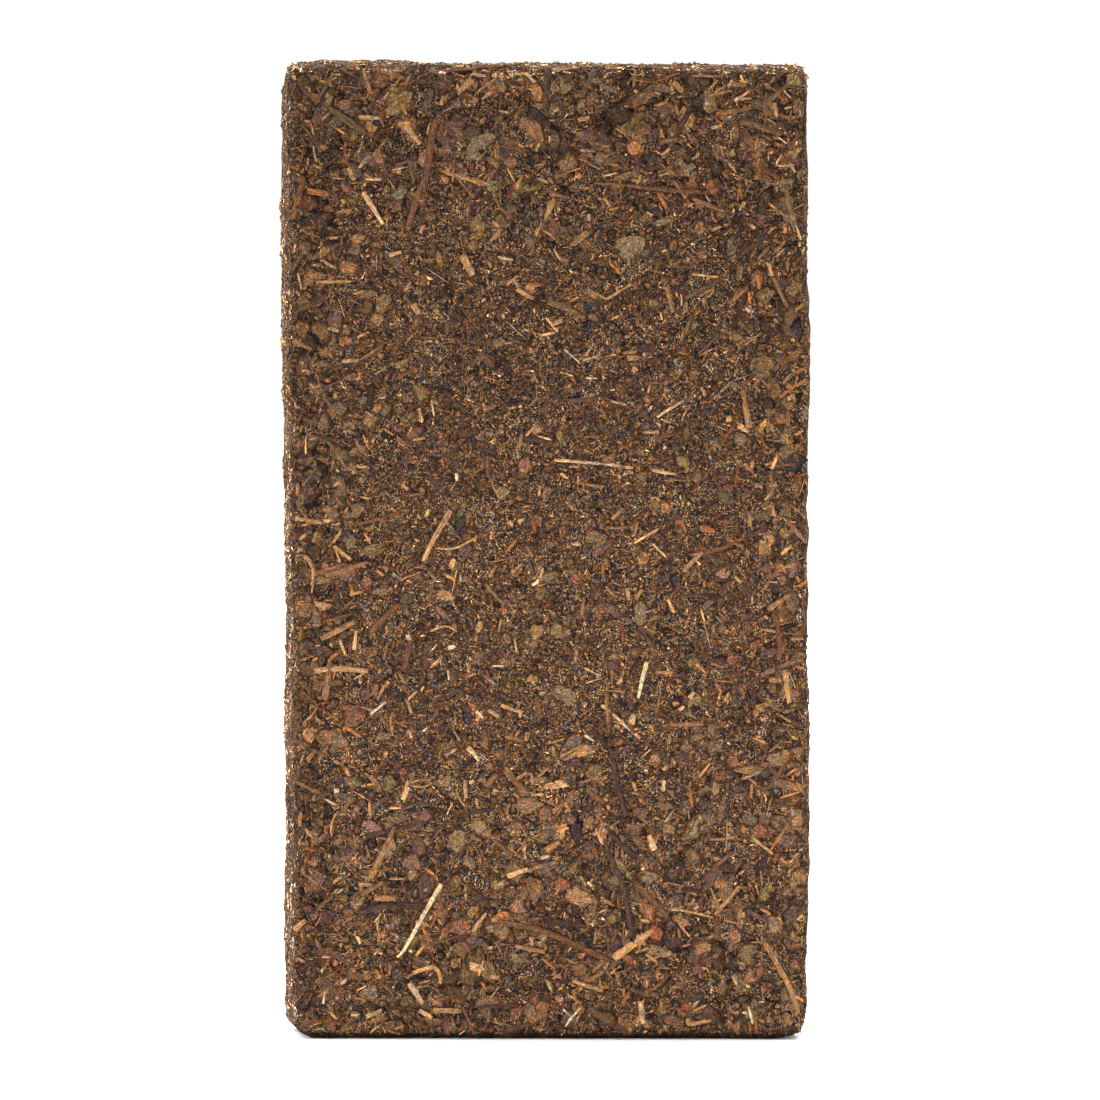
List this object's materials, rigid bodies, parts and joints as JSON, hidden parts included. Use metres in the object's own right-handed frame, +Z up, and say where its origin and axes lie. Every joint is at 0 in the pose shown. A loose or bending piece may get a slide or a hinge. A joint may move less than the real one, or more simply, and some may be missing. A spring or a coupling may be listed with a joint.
{
  "type": "tea brick",
  "caption": "Rectangular slab of pressed dark tea, with leaf flakes and stems in its rough surface, standing on one short end.",
  "frame": {"origin": "middle of the flat end that the brick stands on", "axes": "+Z up along the brick's length, X across its width, Y through its thickness, with the face shown in the picture towards -Y"},
  "size_m": [0.1924, 0.047, 0.3499],
  "materials": {
    "pressed_tea": "rough matte pressed leaf"
  },
  "bodies": {
    "root": {"tea_brick": "pressed_tea"}
  },
  "joints": []
}
